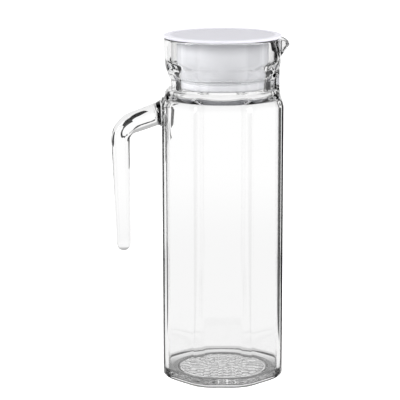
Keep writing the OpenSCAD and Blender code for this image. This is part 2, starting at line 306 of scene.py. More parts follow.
# The pouring lip: the radius of its foot as a share of its own, how soon it widens, and how far
# to each side its dip reaches
LIP_FOOT = 0.27
LIP_WIDENING = 0.85
LIP_SPREAD = radians(16)

# Widths over which the flats, the round outline and the lip blend into each other
HEEL_BLEND = 0.0012
FLAT_BLEND = 0.001
BEAD_BLEND = 0.0016
COLLAR_BLEND = 0.0007
LIP_BLEND = 0.0016

# Outer profile, as shares of other sizes. FLATS_ONLY puts the round outline out of the way, and the
# three of the arches say how the collar's flats come out towards its top.
FLATS_ONLY = 1.6
ROUND_HEEL = 1.16
FOOT_CORNER = 0.7
NECK_CORNER = 0.7
BEAD_MIDDLE = 0.4
BEAD_ROUND = 1.03
ARCH_OUT = 1.12
ARCH_CURVE = 0.75
ARCH_SLOPE = 1.6
ROUND_COLLAR_RISE = 0.36
RIM_EDGE = 0.4

# How far the flats stand outside the foot ring, and the round outline outside the body's corners
# and outside the neck's flats
FOOT_EDGE = 0.0003
CORNER_MARGIN = 0.001
BEAD_TOP_ROUND = 0.0026
ARCH_FOOT_ROUND = 0.0027

# Arcs of the profile: first and last angle, and number of rings
HEEL_ARC = (-86, 0, 18)
SHOULDER_ARC = (8, 82, 12)
GROOVE_ARC = (-62, -6, 6)
BEAD_ARC = (4, 84, 14)
RECESS_ARC = (80, -80, 7)
INNER_HEEL_ARC = (8, 90, 10)

# Stretches of the profile: first and last share, and number of rings
WALL_RINGS = (0.02, 1, 26)
NECK_RINGS = (0.1, 1, 9)
ARCH_RINGS = (0.03, 1.35, 34)
COLLAR_RINGS = (0.1, 1, 16)
BASE_RINGS = (0.015, 0.93, 62)
FLOOR_RINGS = (0.9, 0.06, 12)

# Numbers of rings inside, from the rim down
RIM_RINGS = 15
MOUTH_RINGS = 20
STEP_RINGS = 18
BORE_RINGS = 10
INNER_SHOULDER_RINGS = 34
INNER_WALL_RINGS = 24

# Inner profile and foot, as shares of the rise of the arches, the wall, the recess and the foot
MOUTH_LOW = 0.98
BORE_TOP = 0.32
INNER_HEEL = 0.75
RIM_FULLNESS = 0.6
RECESS_EDGE = 0.018
RECESS_GAP = 0.004
FOOT_INNER = 0.35
FOOT_OUTER = 0.25

# Leaves pressed in the underside: middle and half width of each row as shares of the foot's
# radius, and number of leaves
LEAF_ROWS = ((0.25, 0.10, 8), (0.43, 0.10, 14), (0.61, 0.10, 20), (0.78, 0.085, 26))
LEAF_LEAN = 0.16
LEAF_FILL = 0.86
LEAF_EDGE = 0.3
VEIN_WIDTH = 0.12
VEIN_DEPTH = 0.55
PLAIN_RINGS = (0.12, 0.875)
PLAIN_RING_WIDTH = 0.012
PLAIN_RING_RISE = 0.7


def lip_radius_at(z, g):
    """Radius of the pouring lip round its own axis at height z, from its foot to its tip."""
    foot = g.lip_radius * LIP_FOOT
    t = (z - (g.height - g.lip_rise)) / (g.lip_rise - g.lip_drop)
    return foot + (g.lip_radius - foot) * np.clip(t, 0, 1)**LIP_WIDENING


def lip_field(angle, z, g, inset):
    """Distance from the pitcher's axis to the lip's outline, or 0 where there is no lip."""
    axis = g.collar + g.lip_reach - g.lip_radius
    radius = lip_radius_at(z, g) - inset
    inside = radius**2 - (axis * np.sin(angle))**2
    hit = (inside > 0) & (np.cos(angle) > 0) & (radius > 0)
    return np.where(hit, axis * np.cos(angle) + np.sqrt(np.maximum(inside, 0)), 0)


def rim_drop(angle, z, g):
    """How far the glass near the rim dips towards the tip of the lip."""
    turn = (angle + pi) % (2 * pi) - pi
    across = np.where(np.abs(turn) < LIP_SPREAD, np.cos(turn / LIP_SPREAD * pi / 2)**2, 0)
    return g.lip_drop * across * smooth_step((z - (g.height - g.lip_rise)) / g.lip_rise)


def outer_stations(g):
    """Height, flat, corner radius, round radius and blend of each outer ring, foot to rim.

    Where only the flats count, the round radius is far outside them, and the other way round.
    """
    free = g.collar * FLATS_ONLY
    flat_foot = g.foot + FOOT_EDGE
    corner_r = (g.flat - g.corner) / cos(HALF_SIDE) + g.corner + CORNER_MARGIN
    stations = []
    for out, up in arc(*HEEL_ARC):
        reach = sqrt(1 - (1 - (1 + up) / ROUND_HEEL)**2)
        stations.append((g.heel * (1 + up), flat_foot + (g.flat - flat_foot) * out,
                         g.corner * (FOOT_CORNER + (1 - FOOT_CORNER) * out),
                         g.foot + (corner_r - g.foot) * reach, HEEL_BLEND))
    stations += [(g.heel + (g.shoulder - g.heel) * t, g.flat, g.corner, free, FLAT_BLEND)
                 for t in np.linspace(*WALL_RINGS)]
    groove = g.flat - g.shoulder_inset
    stations += [(g.shoulder + g.shoulder_rise * up, groove + g.shoulder_inset * out, g.corner, free,
                  FLAT_BLEND) for out, up in arc(*SHOULDER_ARC)]
    groove_z = g.shoulder + g.shoulder_rise
    bead_flat = groove + g.bead_swell
    middle = g.bead_rise * BEAD_MIDDLE
    bead_round = bead_flat * BEAD_ROUND
    stations += [(groove_z + middle * (1 + up), groove + g.bead_swell * out, g.corner, bead_round,
                  BEAD_BLEND) for out, up in arc(*GROOVE_ARC)]
    top_round = g.neck + BEAD_TOP_ROUND
    stations += [(groove_z + middle + (g.bead_rise - middle) * up, g.neck + (bead_flat - g.neck) * out,
                  g.corner, top_round + (bead_round - top_round) * out, BEAD_BLEND)
                 for out, up in arc(*BEAD_ARC)]
    neck_z = groove_z + g.bead_rise
    neck_top = neck_z + g.neck_rise
    fillet = g.corner * NECK_CORNER
    stations += [(neck_z + g.neck_rise * t, g.neck, fillet, free, FLAT_BLEND)
                 for t in np.linspace(*NECK_RINGS)]
    low = g.collar - g.collar_draft
    foot_round = g.neck + ARCH_FOOT_ROUND
    draft = g.collar_draft / (g.height - neck_top)
    for t in np.linspace(*ARCH_RINGS):
        out = ARCH_OUT * t**ARCH_CURVE if t < 1 else ARCH_OUT + (t - 1) * ARCH_SLOPE
        round_r = foot_round + (low - foot_round) * smooth_step(t / ROUND_COLLAR_RISE)
        stations.append((neck_top + g.arch_rise * t, g.neck + (g.collar - g.neck) * out, fillet,
                         round_r + draft * g.arch_rise * t, COLLAR_BLEND))
    start = stations[-1][0]
    rim = g.height - g.wall * RIM_EDGE
    for t in np.linspace(*COLLAR_RINGS):
        z = start + (rim - start) * t
        stations.append((z, free, g.corner, low + draft * (z - neck_top), COLLAR_BLEND))
    return stations


def outer_ring(angle, station, g):
    z, flat, fillet, round_r, blend = station
    radius = smooth_min(octagon(angle, flat, fillet), round_r, blend)
    height = z - rim_drop(angle, z, g)
    lip = lip_field(angle, height, g, 0)
    return smooth_max(radius, lip, LIP_BLEND), height


def inner_ring(angle, z, radius, g):
    height = z - rim_drop(angle, z, g)
    lip = np.where(height > g.height - g.lip_rise + 2 * g.lip_wall,
                   lip_field(angle, height, g, g.lip_wall), 0)
    return smooth_max(radius, lip, LIP_BLEND), height


def base_relief(radius, angle, g):
    """Height of the pattern pressed in the underside: rows of leaves between plain rings."""
    spread = radius / g.foot
    height = np.zeros_like(angle)
    for order, (middle, half, count) in enumerate(LEAF_ROWS):
        along = (spread - middle) / half
        turn = angle * count / (2 * pi) + order * 0.5 + along * LEAF_LEAN
        across = np.abs(turn - np.round(turn)) * 2
        edge = max(1 - along**2, 0) * LEAF_FILL
        leaf = np.clip((edge - across) / LEAF_EDGE, 0, 1) if edge > 0 else 0
        vein = np.clip(across / VEIN_WIDTH, 0, 1)
        height = np.maximum(height, leaf * (1 - VEIN_DEPTH * (1 - vein)))
    for middle in PLAIN_RINGS:
        bulge = exp(-((spread - middle) / PLAIN_RING_WIDTH)**2)
        height = np.maximum(height, bulge * PLAIN_RING_RISE)
    return g.relief * height


def glass_rings(g):
    """All rings of the glass body, from under the base, up outside, over the rim and down inside."""
    angle = ring_angles(g.turns)
    out_x, out_y = np.cos(angle), np.sin(angle)

    def ring(radius, height):
        height = np.broadcast_to(height, angle.shape)
        return np.column_stack([radius * out_x, radius * out_y, height])

    recess = g.foot - g.foot_width
    rings = [ring(recess * t, g.push_up + base_relief(recess * t, angle, g))
             for t in np.linspace(*BASE_RINGS)]
    rings += [ring(recess * (1 - RECESS_GAP - RECESS_EDGE * (1 + up)), g.push_up * (1 + up) / 2)
              for out, up in arc(*RECESS_ARC)]
    rings.append(ring(recess + g.foot_width * FOOT_INNER, 0.0))
    rings.append(ring(g.foot - g.foot_width * FOOT_OUTER, 0.0))
    stations = outer_stations(g)
    rings += [ring(*outer_ring(angle, station, g)) for station in stations]
    outer_r, outer_z = outer_ring(angle, stations[-1], g)
    rim_start = stations[-1][0]
    inner_r, inner_z = inner_ring(angle, rim_start, g.mouth, g)
    for t in steps(RIM_RINGS)[:-1]:
        across = (1 - cos(pi * t)) / 2
        rise = (g.height - rim_start) * sin(pi * t)**RIM_FULLNESS
        rings.append(ring(outer_r + (inner_r - outer_r) * across,
                          outer_z + (inner_z - outer_z) * across + rise))
    rings.append(ring(inner_r, inner_z))
    neck_top = g.shoulder + g.shoulder_rise + g.bead_rise + g.neck_rise
    mouth_low = neck_top + g.arch_rise * MOUTH_LOW
    bore_top = neck_top + g.arch_rise * BORE_TOP
    opening = neck_top - g.neck_rise + g.bore_end
    rings += [ring(*inner_ring(angle, rim_start + (mouth_low - rim_start) * t, g.mouth, g))
              for t in steps(MOUTH_RINGS)]
    rings += [ring(g.mouth + (g.neck_bore - g.mouth) * smooth_step(t),
                   mouth_low + (bore_top - mouth_low) * t) for t in steps(STEP_RINGS)]
    rings += [ring(g.neck_bore, bore_top + (opening - bore_top) * t) for t in steps(BORE_RINGS)]
    body = octagon(angle, g.flat - g.wall, g.inner_corner)
    rings += [ring(g.neck_bore + (body - g.neck_bore) * smooth_step(t),
                   opening + (g.shoulder - opening) * t) for t in steps(INNER_SHOULDER_RINGS)]
    heel = g.wall * INNER_HEEL
    rings += [ring(body, g.shoulder + (g.floor + heel - g.shoulder) * t)
              for t in steps(INNER_WALL_RINGS)]
    rings += [ring(body - heel * (1 - out), g.floor + heel * (1 - up))
              for out, up in arc(*INNER_HEEL_ARC)]
    return rings + [ring((body - heel) * t, g.floor) for t in np.linspace(*FLOOR_RINGS)]


def body_mesh(g):
    return ring_mesh(glass_rings(g), (0.0, 0.0, g.push_up), (0.0, 0.0, g.floor))


# Handle

# The hook: points in each ring and how square they are, how deep its root sits in the wall, the
# length of the root's flare as a share of the arm, and the share of the taper that the arm has
HOOK_TURNS = 64
HOOK_SQUARENESS = 2.4
ROOT_DEPTH = 0.5
ROOT_FLARE = 0.24
ARM_TAPER = 0.4

# Numbers of rings of the hook, how they crowd near the root, and the arc of its open end
ARM_RINGS = 34
ARM_CROWDING = 1.5
BEND_RINGS = 22
GRIP_RINGS = 30
END_ARC = (10, 80, 9)
QUARTER_TURN = pi / 2


def superellipse(count, power):
    angle = np.arange(count) / count * 2 * pi
    c, s = np.cos(angle), np.sin(angle)
    return np.sign(c) * np.abs(c)**(2 / power), np.sign(s) * np.abs(s)**(2 / power)


def handle_rings(h, g):
    """Middle point, tilt, half thickness and half width of each ring of the hook."""
    grip_top, grip_low = h.grip / 2, h.grip_end / 2
    grip_x = -(g.flat + h.gap)
    bend_x = grip_x - grip_top + h.bend
    bend_z = h.height - (h.bend - (g.flat + bend_x) * sin(h.slope)) / cos(h.slope)
    arm_end = Vector((bend_x - h.bend * sin(h.slope), bend_z + h.bend * cos(h.slope)))
    arm_length = (arm_end - Vector((-g.flat, h.height))).length
    grip_length = bend_z - h.end - grip_low
    flare = arm_length * ROOT_FLARE
    rings = [((x, h.height), 0.0, h.root_height / 2, h.root_width / 2)
             for x in (g.wall * ROOT_DEPTH - g.flat, -g.flat)]
    for t in steps(ARM_RINGS)[:-1]**ARM_CROWDING:
        s = arm_length * t
        left = max(1 - s / flare, 0)**2
        thick = h.arm + (h.grip - h.arm) * t * ARM_TAPER
        tilt = h.slope * float(smooth_step(min(s / (2 * flare), 1)))
        rings.append(((-g.flat - s * cos(h.slope), h.height - s * sin(h.slope)), tilt,
                      (thick + (h.root_height - thick) * left) / 2,
                      (h.arm_width + (h.root_width - h.arm_width) * left) / 2))
    thick = h.arm + (h.grip - h.arm) * ARM_TAPER
    for t in np.linspace(0, 1, BEND_RINGS):
        tilt = h.slope + (QUARTER_TURN - h.slope) * t
        rings.append(((bend_x - h.bend * sin(tilt), bend_z + h.bend * cos(tilt)), tilt,
                      (thick + (h.grip - thick) * t) / 2, h.arm_width / 2))
    for t in steps(GRIP_RINGS):
        half = grip_top + (grip_low - grip_top) * t
        rings.append(((grip_x - half, bend_z - grip_length * t), QUARTER_TURN, half,
                      (h.arm_width + (h.end_width - h.arm_width) * t) / 2))
    (x, z), tilt, half, wide = rings[-1]
    return rings + [((x, z - grip_low * up), tilt, half * out, wide * out) for out, up in arc(*END_ARC)]


def handle_mesh(h, g):
    u, v = superellipse(HOOK_TURNS, HOOK_SQUARENESS)
    rings = []
    for (x, z), tilt, half, wide in handle_rings(h, g):
        rings.append(np.column_stack([x - u * half * sin(tilt), v * wide,
                                      z + u * half * cos(tilt)]))
    start = (rings[0][:, 0].mean(), 0.0, rings[0][:, 2].mean())
    end = (rings[-1][:, 0].mean(), 0.0, h.end)
    return ring_mesh(rings, start, end)


def fuse(piece, other):
    """Joins another closed mesh to the piece, as hot glass fuses, and removes the other object."""
    joint = piece.modifiers.new("fuse", "BOOLEAN")
    joint.operation = "UNION"
    joint.solver = "EXACT"
    joint.object = other
    bpy.context.view_layer.update()
    graph = bpy.context.evaluated_depsgraph_get()
    mesh = bpy.data.meshes.new_from_object(piece.evaluated_get(graph))
    old = piece.data
    piece.modifiers.clear()
    piece.data = mesh
    bpy.data.meshes.remove(old)
    bpy.data.objects.remove(other)
    mesh.shade_smooth()


# Lid

LID_TURNS = 192

# Shares of the lid's own sizes: where the cap's rings stand on its dish and on its slope, how
# wide that slope is, and the slope of the plug's end and the softened edge of its grooves
DISH_RINGS = (0.92, 0.7, 0.4, 0.1)
SLOPE_RINGS = (0.2, 0.4, 0.6, 0.8, 1)
DISH_SLOPE = 2
END_SLOPE = 2.4
GROOVE_EDGE = 0.2
SEAL_ARC = (-80, 80, 13)


def turned(name, profile):
    """A turned piece from a closed profile of (radius, height) points, listed once round."""
    angle = np.arange(LID_TURNS) / LID_TURNS * 2 * pi
    out_x, out_y = np.cos(angle), np.sin(angle)
    hollow = profile[0][0] > 0
    rings, ends = [], [None, None]
    for index, (radius, height) in enumerate(profile):
        if radius <= 0:
            ends[0 if index == 0 else 1] = (0.0, 0.0, height)
        else:
            rings.append(np.column_stack([radius * out_x, radius * out_y, np.full(LID_TURNS, height)]))
    if hollow:
        rings.append(rings[0])
    return mesh_object(name, *ring_mesh(rings, *ends), merge=hollow)


def rounded(cx, cz, radius, start, end, count=7):
    return [(cx + radius * out, cz + radius * up) for out, up in arc(start, end, count)]


def cap_profile(lid):
    low, high, edge = CAP_LOW.z, CAP_HIGH.z, lid.cap_edge
    inner = lid.cap_radius - lid.cap_border
    slope = lid.cap_dish * DISH_SLOPE
    profile = [(0, low), (lid.cap_radius / 2, low), (lid.cap_radius - edge, low)]
    profile += rounded(lid.cap_radius - edge / 2, low + edge / 2, edge / 2, -90, 0)
    profile += rounded(lid.cap_radius - edge, high - edge, edge, 0, 90)
    profile += [(inner + slope / 2, high)]
    profile += [(inner + slope * (0.5 - t), high - lid.cap_dish * float(smooth_step(t)))
                for t in SLOPE_RINGS]
    profile += [(inner * t, high - lid.cap_dish) for t in DISH_RINGS]
    return profile + [(0, high - lid.cap_dish)]


def plug_profile(lid):
    r, inner = lid.plug_radius, lid.plug_radius - lid.plug_wall
    low, high, soft = PLUG_LOW.z, PLUG_HIGH.z, lid.plug_wall / 3
    groove, lip = r - lid.groove, lid.groove * GROOVE_EDGE
    profile = [(inner, high), (inner, (low + high) / 2)]
    profile += rounded(inner + soft, low + soft, soft, 180, 270)
    profile += rounded(r - soft, low + soft * END_SLOPE, soft, -60, 0)
    for ring_low, ring_high in ((LOWER_RING_LOW.z, LOWER_RING_HIGH.z),
                                (UPPER_RING_LOW.z, UPPER_RING_HIGH.z)):
        profile += [(r, ring_low - lip), (r - lip, ring_low), (groove, ring_low),
                    (groove, ring_high), (r - lip, ring_high), (r, ring_high + lip)]
    return profile + [(r, (UPPER_RING_HIGH.z + high) / 2), (r, high)]


def seal_profile(lid, low, high, outer):
    groove = lid.plug_radius - lid.groove
    half = (high - low) / 2
    bulge = [(outer - (outer - lid.plug_radius) * (1 - out), low + half + half * up)
             for out, up in arc(*SEAL_ARC)]
    return [(groove, low)] + bulge + [(groove, high)]


# Materials

WHITE = (1, 1, 1, 1)
FLOAT = "NodeSocketFloat"
COLOUR = "NodeSocketColor"
VECTOR = "NodeSocketVector"


def empty_tree(block):
    """The node tree of a new material or world, with nothing in it."""
    block.use_nodes = True
    block.node_tree.nodes.clear()
    return block.node_tree


def is_socket(value):
    return isinstance(value, bpy.types.NodeSocket)


def fill_in(node, values):
    """Sets inputs of the node to values, or links them where a value is a socket."""
    for label, value in values.items():
        if is_socket(value):
            node.id_data.links.new(value, node.inputs[label])
        else:
            node.inputs[label].default_value = value


def new_node(kind, values, tree=None, **settings):
    """A new node, in the given tree or in that of the sockets that feed it."""
    tree = tree or next(value.id_data for value in values.values() if is_socket(value))
    node = tree.nodes.new(kind)
    for name, setting in settings.items():
        setattr(node, name, setting)
    fill_in(node, values)
    return node


def material_tree(name):
    """A new material, its node tree and its shader."""
    material = bpy.data.materials.new(name)
    tree = empty_tree(material)
    shader = tree.nodes.new("ShaderNodeBsdfPrincipled")
    new_node("ShaderNodeOutputMaterial", {"Surface": shader.outputs["BSDF"]})
    return material, tree, shader


def new_group(name, inputs, outputs):
    """An empty shader node group with named sockets."""
    tree = bpy.data.node_groups.new(name, "ShaderNodeTree")
    for label, kind, default in inputs:
        socket = tree.interface.new_socket(label, in_out="INPUT", socket_type=kind)
        if default is not None:
            socket.default_value = default
    for label, kind in outputs:
        tree.interface.new_socket(label, in_out="OUTPUT", socket_type=kind)
    return tree, tree.nodes.new("NodeGroupInput"), tree.nodes.new("NodeGroupOutput")


def maths(operation, *values):
    inputs = dict(enumerate(values))
    return new_node("ShaderNodeMath", inputs, operation=operation).outputs[0]


def times(a, b):
    return maths("MULTIPLY", a, b)


def less(a, b):
    return maths("SUBTRACT", a, b)


def vector_maths(operation, values):
    return new_node("ShaderNodeVectorMath", values, operation=operation).outputs[0]


def between(share, start, end):
    """Start where the share is 0, and end where it is 1."""
    return maths("ADD", start, times(share, less(end, start)))


def ramp_between(value, low, high, start, end):
    """Maps a value from low..high to start..end with a smooth step."""
    values = {"Value": value, "From Min": low, "From Max": high, "To Min": start, "To Max": end}
    node = new_node("ShaderNodeMapRange", values, interpolation_type="SMOOTHSTEP")
    return node.outputs["Result"]


def from_axis(vector):
    """The x and y of a vector, and its distance from the upright axis."""
    split = new_node("ShaderNodeSeparateXYZ", {0: vector}).outputs
    x, y = split["X"], split["Y"]
    return x, y, maths("SQRT", maths("ADD", times(x, x), times(y, y)))


def noise(vector, scale, detail, distortion=0):
    values = {"Vector": vector, "Scale": scale, "Detail": detail, "Distortion": distortion}
    return new_node("ShaderNodeTexNoise", values).outputs["Fac"]


def bump(height, distance, strength):
    values = {"Height": height, "Distance": distance, "Strength": strength}
    return new_node("ShaderNodeBump", values).outputs["Normal"]


# Waviness of the glass: how fine it is, how much slower it runs up and down, and its detail
RIPPLE_SCALE = 45
RIPPLE_STRETCH = 0.35
RIPPLE_DETAIL = 1.5

# Grain of the plastics: scale and detail of the broad mottle, detail of the grain, how far the
# grain swings the roughness, strength of its bump, and the width over which the border's painted
# highlight fades in
MOTTLE_NOISE = (26, 2)
GRAIN_DETAIL = 3
GRAIN_SWING = 0.12
GRAIN_BUMP = 0.5
BORDER_FADE = 0.0015

# The least width over which a dark card's edge fades
CARD_FADE = 0.001


def ripple_group():
    """Slow waviness of pressed glass. It puts out a height."""
    name = "Pressed glass ripple"
    if name in bpy.data.node_groups:
        return bpy.data.node_groups[name]
    tree, start, end = new_group(
        name, [("Scale", FLOAT, RIPPLE_SCALE), ("Stretch", FLOAT, RIPPLE_STRETCH)],
        [("Height", FLOAT)])
    place = tree.nodes.new("ShaderNodeTexCoord").outputs["Object"]
    stretch = new_node("ShaderNodeCombineXYZ", {"X": 1, "Y": 1, "Z": start.outputs["Stretch"]})
    stretched = vector_maths("MULTIPLY", {0: place, 1: stretch.outputs[0]})
    height = noise(stretched, start.outputs["Scale"], RIPPLE_DETAIL)
    fill_in(end, {"Height": height})
    return tree


def frost_group():
    """Satin grain of a frosted plastic, with a painted highlight: past Border Start the colour is
    scaled by Border. It puts out a colour, a roughness and a height.
    """
    name = "Frosted plastic grain"
    if name in bpy.data.node_groups:
        return bpy.data.node_groups[name]
    tree, start, end = new_group(
        name,
        [("Colour", COLOUR, (0.8, 0.8, 0.8, 1)), ("Scale", FLOAT, 900), ("Mottle", FLOAT, 0.05),
         ("Roughness", FLOAT, 0.45), ("Border", FLOAT, 1), ("Border Start", FLOAT, 1)],
        [("Colour", COLOUR), ("Roughness", FLOAT), ("Height", FLOAT)])
    given = start.outputs
    place = tree.nodes.new("ShaderNodeTexCoord").outputs["Object"]
    broad = noise(place, *MOTTLE_NOISE)
    grain = noise(place, given["Scale"], GRAIN_DETAIL)
    swing = times(less(broad, 0.5), given["Mottle"])
    reach = from_axis(place)[2]
    # Past Border Start the colour is scaled by Border: a painted highlight on the cap's border
    border_end = maths("ADD", given["Border Start"], BORDER_FADE)
    border = ramp_between(reach, given["Border Start"], border_end, 1.0, given["Border"])
    factor = times(border, maths("ADD", 1.0, swing))
    rough = times(less(grain, 0.5), GRAIN_SWING)
    fill_in(end, {
        "Colour": vector_maths("SCALE", {0: given["Colour"], "Scale": factor}),
        "Roughness": maths("ADD", given["Roughness"], rough), "Height": grain})
    return tree


def side_cards_group():
    """Mask of the four dark cards that stand beside the handle and beside the lip.

    It takes a place, or a direction seen from the axis. Square to the pitcher's flats it is 0.
    """
    name = "Side cards"
    if name in bpy.data.node_groups:
        return bpy.data.node_groups[name]
    tree, start, end = new_group(
        name,
        [("Vector", VECTOR, None), ("Fold", FLOAT, pi / 2), ("Clear", FLOAT, 0.05),
         ("Spread", FLOAT, 0.2), ("Axis Spread", FLOAT, 0.2), ("Soft", FLOAT, 0.05)],
        [("Mask", FLOAT)])
    given = start.outputs
    x, y, reach = from_axis(given["Vector"])
    off = maths("PINGPONG", maths("ARCTAN2", y, x), given["Fold"])
    other = less(SIDE_ANGLE, off)
    past_axis = less(maths("SINE", off), given["Axis Spread"])
    past_diagonal = less(maths("SINE", other), given["Spread"])
    nearest = times(reach, maths("MINIMUM", past_axis, past_diagonal))
    over = less(nearest, given["Clear"])
    width = maths("ADD", times(given["Soft"], reach), CARD_FADE)
    fill_in(end, {"Mask": ramp_between(over, 0.0, width, 0.0, 1.0)})
    return tree


def side_cards(vector, values):
    """Places the side cards' group and returns its mask."""
    values = {"Vector": vector, **values}
    return new_node("ShaderNodeGroup", values, node_tree=side_cards_group()).outputs["Mask"]


GLASS_IOR = 1.5
PLASTIC_IOR = 1.45

# How far light spreads inside the plastics: share of each colour, and distance
SPREAD_SHARES = (0.6, 0.6, 0.6)
SPREAD_DISTANCE = 0.004


def glass_material(finish, ripple):
    material, tree, shader = material_tree("clear_pressed_glass")
    waves = new_node("ShaderNodeGroup", {"Scale": RIPPLE_SCALE, "Stretch": RIPPLE_STRETCH}, tree,
                     node_tree=ripple_group())
    fill_in(shader, {
        "Base Color": (*finish.glass, 1), "Transmission Weight": 1, "Roughness": 0, "IOR": GLASS_IOR,
        "Normal": bump(waves.outputs["Height"], ripple, 1)})
    return material


def frosted_material(name, tint, rough, scale, depth, translucent, border=1, border_start=1):
    material, tree, shader = material_tree(name)
    values = {"Colour": (*tint, 1), "Scale": scale, "Roughness": rough, "Border": border,
              "Border Start": border_start}
    grain = new_node("ShaderNodeGroup", values, tree, node_tree=frost_group()).outputs
    fill_in(shader, {
        "Base Color": grain["Colour"], "Roughness": grain["Roughness"], "IOR": PLASTIC_IOR,
        "Normal": bump(grain["Height"], depth, GRAIN_BUMP),
        "Subsurface Weight": translucent, "Subsurface Radius": SPREAD_SHARES,
        "Subsurface Scale": SPREAD_DISTANCE})
    return material


# The set. Dark cards on the floor all round, more of them close by, and cards far away. The
# spreads are how wide the view stays clear along the diagonals and along the axes.
FLOOR_CARDS = {"Clear": 0.0435, "Spread": 0.038, "Axis Spread": 0.08, "Soft": 0.03}
NEAR_CARDS = {"Fold": SIDE_ANGLE, "Clear": 0.0435, "Spread": 0.038, "Axis Spread": 0.3, "Soft": 0.02}
WORLD_CARDS = {"Clear": 0, "Spread": 0.08, "Axis Spread": 0.08, "Soft": 0.04}
NEAR_CARDS_END = (0.36, 0.43)

# The dark quarter of the floor behind the pitcher on the lip's side: where it starts to the right
# and to the back, and how far these two edges lean
QUARTER_RIGHT = (0.052, 0.075)
QUARTER_BACK = (0.044, 0.060)
QUARTER_RIGHT_LEAN = 0.55
QUARTER_BACK_LEAN = 0.09

# Painted shade and light on the floor round the base, which only the glass shows, from the outside
# in: the radii between which the level changes, and the level inside. They are painted shade near
# the pitcher, a painted shaded skirt and dark ring, a painted light ring at the heel, a painted
# contact shadow under the foot ring and painted caustics under the base. The heel's painted light
# grows from front to back.
NEAR_SHADE_EDGE = (0.35, 0.8)
SKIRT_SHADE_EDGE = (0.052, 0.068)
SKIRT_SHADE_LEVEL = 0.7
HEEL_SHADE_EDGE = (0.0465, 0.0485)
HEEL_SHADE_LEVEL = 0.08
HEEL_LIGHT_EDGE = (0.0420, 0.0440)
HEEL_LIGHT_LEVELS = (0.25, 0.8)
HEEL_LIGHT_DEPTH = (0.0, 0.028)
CONTACT_SHADOW_EDGE = (0.0345, 0.0365)
CONTACT_SHADOW_LEVEL = 0.12
BASE_EDGE = (0.0310, 0.0325)

# Patterns: scale, detail and distortion of a noise, and the ramp that follows it. Broken light
# under the base, fine specks of the floor, and the weave of the black cloth.
CAUSTIC_STRETCH = (1, 1.6, 1)
CAUSTIC_NOISE = (260, 2, 1.5)
CAUSTIC_RAMP = (0.4, 0.56, 0.4, 1.0)
SPECK_NOISE = (300, 3)
SPECK_RAMP = (0.2, 0.8, 0.985, 1.015)
WEAVE_NOISE = (900, 2)
WEAVE_RAMP = (0.3, 0.7, 0.004, 0.012)

# What the camera's own rays add to bring the floor up to white
FLOOR_GLOW = 0.62

# How dark the set gets towards the top, by the upward part of a ray's direction
HAZE_RAMP = (0.17, 0.32, 0.0, 0.55)
CEILING_EDGE = (0.5, 0.7)


def caustics(place):
    """Broken light that the pressed pattern throws on the floor under the base."""
    stretched = vector_maths("MULTIPLY", {0: place, 1: CAUSTIC_STRETCH})
    spots = noise(stretched, *CAUSTIC_NOISE)
    return ramp_between(spots, *CAUSTIC_RAMP)


def floor_cards(place, x, y, reach):
    """Mask of the dark cards on the floor."""
    close_by = ramp_between(reach, *NEAR_CARDS_END, 1.0, 0.0)
    near = times(side_cards(place, NEAR_CARDS), close_by)
    mask = maths("MAXIMUM", side_cards(place, FLOOR_CARDS), near)
    right = less(x, times(y, QUARTER_RIGHT_LEAN))
    back = less(y, times(x, QUARTER_BACK_LEAN))
    quarter = times(ramp_between(right, *QUARTER_RIGHT, 0.0, 1.0),
                    ramp_between(back, *QUARTER_BACK, 0.0, 1.0))
    return maths("MAXIMUM", mask, quarter)


def painted_floor_shade_and_light(place, y, reach, near):
    """Level of the painted shade and light on the floor round and under the base."""
    level = ramp_between(reach, *SKIRT_SHADE_EDGE, SKIRT_SHADE_LEVEL, 1.0)
    level = ramp_between(reach, *HEEL_SHADE_EDGE, HEEL_SHADE_LEVEL, level)
    light = ramp_between(y, *HEEL_LIGHT_DEPTH, *HEEL_LIGHT_LEVELS)
    level = ramp_between(reach, *HEEL_LIGHT_EDGE, light, level)
    level = ramp_between(reach, *CONTACT_SHADOW_EDGE, CONTACT_SHADOW_LEVEL, level)
    level = ramp_between(reach, *BASE_EDGE, caustics(place), level)
    return times(ramp_between(reach, *NEAR_SHADE_EDGE, near, 1.0), level)


def seen_by_glass(rays):
    """1 for rays that have come through the glass or off it."""
    return maths("MAXIMUM", rays["Is Glossy Ray"], rays["Is Transmission Ray"])


def floor_material(finish):
    """Pale floor. Through glass and in reflections it shows the dark cards and the painted shade and
    light rings.
    """
    material = bpy.data.materials.new("pale_floor")
    tree = empty_tree(material)
    place = tree.nodes.new("ShaderNodeNewGeometry").outputs["Position"]
    x, y, reach = from_axis(place)
    dark = times(floor_cards(place, x, y, reach), 1 - finish.dark)
    level = times(painted_floor_shade_and_light(place, y, reach, finish.near), less(1.0, dark))
    grain = ramp_between(noise(place, *SPECK_NOISE), *SPECK_RAMP)
    tint = vector_maths("SCALE", {0: finish.floor, "Scale": grain})
    plain = new_node("ShaderNodeBsdfDiffuse", {"Color": tint})
    rays = tree.nodes.new("ShaderNodeLightPath").outputs
    glow = times(rays["Is Camera Ray"], FLOOR_GLOW)
    own = new_node("ShaderNodeEmission", {"Strength": glow})
    lit = new_node("ShaderNodeAddShader", {0: plain.outputs[0], 1: own.outputs[0]})
    shown = new_node("ShaderNodeEmission", {"Strength": level})
    mix = new_node("ShaderNodeMixShader",
                   {0: seen_by_glass(rays), 1: lit.outputs[0], 2: shown.outputs[0]})
    new_node("ShaderNodeOutputMaterial", {"Surface": mix.outputs[0]})
    return material


def black_material():
    """Black cloth of the flags, which only the glass and its reflections show."""
    material, tree, shader = material_tree("black_cloth")
    place = tree.nodes.new("ShaderNodeTexCoord").outputs["Generated"]
    tone = ramp_between(noise(place, *WEAVE_NOISE), *WEAVE_RAMP)
    fill_in(shader, {"Base Color": tone, "Roughness": 1, "Specular IOR Level": 0})
    return material


